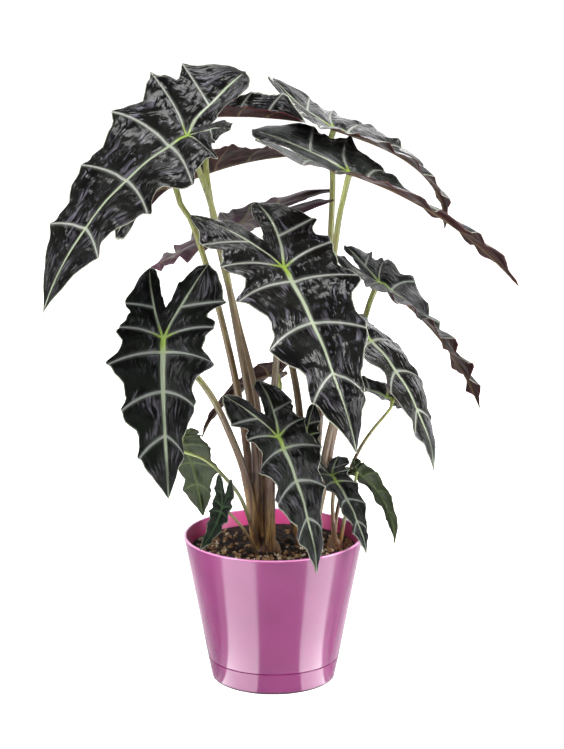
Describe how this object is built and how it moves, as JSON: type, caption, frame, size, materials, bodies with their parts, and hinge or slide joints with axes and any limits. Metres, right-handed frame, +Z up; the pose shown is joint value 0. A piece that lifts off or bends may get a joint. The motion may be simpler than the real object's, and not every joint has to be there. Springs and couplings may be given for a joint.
{
  "type": "potted african mask plant",
  "caption": "African mask plant with dark, wavy arrowhead leaves and pale veins on slim stems, in a glossy magenta cone-shaped pot.",
  "frame": {"origin": "centre of the pot's flat underside, where it rests", "axes": "+Z up through the pot's axis; the picture looks along +Y with +X to the right"},
  "size_m": [0.3555, 0.2457, 0.4804],
  "materials": {
    "pot": "high gloss magenta",
    "soil": "loose damp potting soil",
    "shoot": "dry tan sheaths",
    "stem": "smooth satin green brown",
    "dark_leaf": "satin, puckered, near black green with pale veins",
    "green_leaf": "satin mid green"
  },
  "bodies": {
    "root": {"pot": "pot", "soil": "soil", "shoot_main": "shoot", "shoot_side": "shoot", "shoot_small": "shoot", "stem_top_left": "stem", "stem_top_left_back": "stem", "stem_top_middle_back": "stem", "stem_top_right_back": "stem", "stem_top_right_front": "stem", "stem_middle_back": "stem", "stem_centre": "stem", "stem_left": "stem", "stem_right_long": "stem", "stem_right_low": "stem", "stem_low_front": "stem", "stem_low_right": "stem", "stem_small_left": "stem", "stem_small_soil": "stem", "stem_small_right": "stem", "stem_small_back": "stem", "stem_small_right_back": "stem", "stem_hidden_low": "stem", "leaf_top_left": "dark_leaf", "leaf_top_left_back": "dark_leaf", "leaf_top_middle_back": "dark_leaf", "leaf_top_right_back": "dark_leaf", "leaf_top_right_front": "dark_leaf", "leaf_middle_back": "dark_leaf", "leaf_centre": "dark_leaf", "leaf_left": "dark_leaf", "leaf_right_long": "dark_leaf", "leaf_right_low": "dark_leaf", "leaf_low_front": "dark_leaf", "leaf_low_right": "dark_leaf", "leaf_small_left": "green_leaf", "leaf_small_soil": "dark_leaf", "leaf_small_right": "green_leaf", "leaf_small_back": "dark_leaf", "leaf_small_right_back": "dark_leaf", "leaf_hidden_low": "dark_leaf"}
  },
  "joints": []
}
